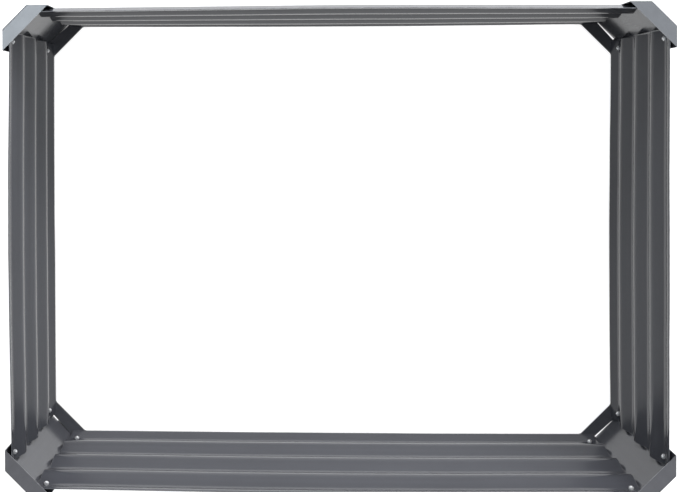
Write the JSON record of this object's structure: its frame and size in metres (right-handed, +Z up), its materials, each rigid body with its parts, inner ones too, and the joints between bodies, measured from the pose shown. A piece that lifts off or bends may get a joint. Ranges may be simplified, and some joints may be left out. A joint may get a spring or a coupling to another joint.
{
  "type": "raised garden bed",
  "caption": "Low rectangular raised garden bed, open above and below: corrugated painted steel walls bolted inside folded corner posts with chamfered corners.",
  "frame": {"origin": "middle of the bed on the ground plane, under the middle of its length and width", "axes": "+X along the length of the bed, +Y to the back wall, +Z up"},
  "size_m": [1.2052, 0.8912, 0.3],
  "materials": {
    "painted_post": "satin dark slate grey paint",
    "painted_panel": "satin dark slate grey paint",
    "zinc_bolt": "bright zinc plate",
    "zinc_nut": "bright zinc plate"
  },
  "bodies": {
    "root": {"corner_post_front_left": "painted_post", "corner_post_front_right": "painted_post", "corner_post_back_right": "painted_post", "corner_post_back_left": "painted_post", "wall_panel_front": "painted_panel", "wall_panel_right": "painted_panel", "wall_panel_back": "painted_panel", "wall_panel_left": "painted_panel", "bolts_front_panel_left": "zinc_bolt", "bolts_front_panel_right": "zinc_bolt", "bolts_right_panel_front": "zinc_bolt", "bolts_right_panel_back": "zinc_bolt", "bolts_back_panel_right": "zinc_bolt", "bolts_back_panel_left": "zinc_bolt", "bolts_left_panel_back": "zinc_bolt", "bolts_left_panel_front": "zinc_bolt", "nuts_front_panel_left": "zinc_nut", "nuts_front_panel_right": "zinc_nut", "nuts_right_panel_front": "zinc_nut", "nuts_right_panel_back": "zinc_nut", "nuts_back_panel_right": "zinc_nut", "nuts_back_panel_left": "zinc_nut", "nuts_left_panel_back": "zinc_nut", "nuts_left_panel_front": "zinc_nut"}
  },
  "joints": []
}
